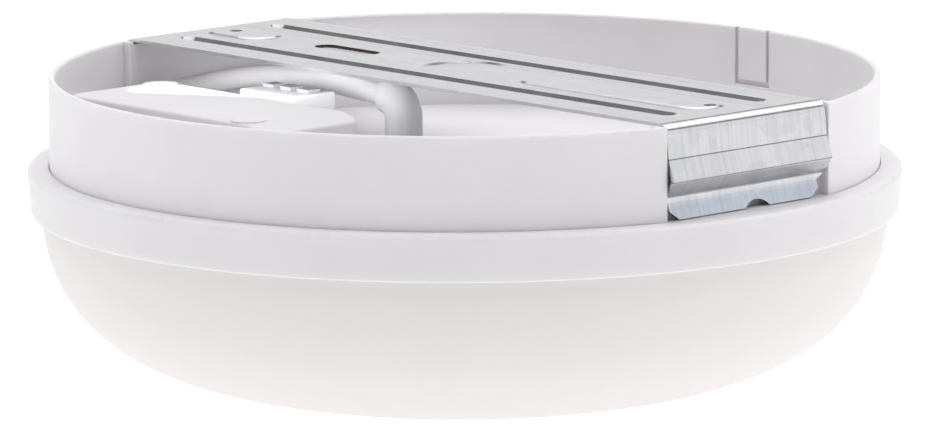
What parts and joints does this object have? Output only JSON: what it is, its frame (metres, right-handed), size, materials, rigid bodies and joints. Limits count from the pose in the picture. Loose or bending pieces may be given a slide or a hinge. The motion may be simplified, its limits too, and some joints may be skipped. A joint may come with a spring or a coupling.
{
  "type": "outdoor wall light",
  "caption": "Round surface-mount outdoor light: opal dome twisted into a white drum housing that springs onto a steel wall bracket.",
  "frame": {"origin": "middle of the bracket's back, on the plane of the pads that lie against the wall or ceiling", "axes": "+Z into the wall or ceiling, out of the light's back; +X along the bracket, towards the end away from the slotted hole; the dome hangs towards -Z"},
  "size_m": [0.3196, 0.3196, 0.1169],
  "materials": {
    "galvanised_steel": "bright zinc coat, pressed sheet",
    "white_moulding": "satin white moulding",
    "white_ring": "satin white moulding",
    "opal_diffuser": "satin opal",
    "silicone": "soft, milky",
    "white_tray": "gloss white paint",
    "white_board": "white solder mask",
    "led_yellow": "clear yellow phosphor",
    "driver_white": "fine-textured white",
    "circuit_green": "green solder mask",
    "black_part": "gloss black",
    "yellow_tape": "tape over a winding",
    "copper_winding": "enamelled winding",
    "terminal_green": "plain",
    "terminal_grey": "plain",
    "button_grey": "plain",
    "spring_steel": "plain",
    "zinc_screw": "zinc plated",
    "white_sheath": "soft white PVC",
    "wire_sheath": "PVC single wires"
  },
  "bodies": {
    "bracket": {"wall_bracket": "galvanised_steel"},
    "luminaire": {"housing": "white_moulding", "trim_ring": "white_ring", "diffuser_seal": "silicone", "led_tray": "white_tray", "led_board": "white_board", "leds": "led_yellow", "led_connector": "driver_white", "led_wires": "wire_sheath", "tray_screws": "zinc_screw", "board_screws": "zinc_screw", "driver_case": "driver_white", "driver_cover": "driver_white", "driver_screws": "zinc_screw", "driver_board": "circuit_green", "driver_transformer": "yellow_tape", "driver_capacitors": "black_part", "driver_choke": "copper_winding", "driver_terminals": "terminal_green", "terminal_block": "terminal_grey", "terminal_springs": "spring_steel", "terminal_screw": "zinc_screw", "mains_wires": "wire_sheath", "driver_lead": "white_sheath", "lead_sleeve": "silicone"},
    "diffuser": {"diffuser": "opal_diffuser"},
    "button_1": {"terminal_button_1": "button_grey"},
    "button_2": {"terminal_button_2": "button_grey"},
    "button_3": {"terminal_button_3": "button_grey"}
  },
  "joints": [
    {"name": "pull_off", "type": "slide", "parent": "bracket", "child": "luminaire", "axis": [0, 0, -1], "range_m": [0, 0.06]},
    {"name": "bayonet_twist", "type": "hinge", "parent": "luminaire", "child": "diffuser", "pos_m": [0, 0, -0.045], "axis": [0, 0, 1], "range_deg": [0, 20]},
    {"name": "press_button_1", "type": "slide", "parent": "luminaire", "child": "button_1", "axis": [0, 0, -1], "range_m": [0, 0.0015], "stiffness_N_per_m": 4000, "springref_m": -0.002},
    {"name": "press_button_2", "type": "slide", "parent": "luminaire", "child": "button_2", "axis": [0, 0, -1], "range_m": [0, 0.0015], "stiffness_N_per_m": 4000, "springref_m": -0.002},
    {"name": "press_button_3", "type": "slide", "parent": "luminaire", "child": "button_3", "axis": [0, 0, -1], "range_m": [0, 0.0015], "stiffness_N_per_m": 4000, "springref_m": -0.002}
  ]
}
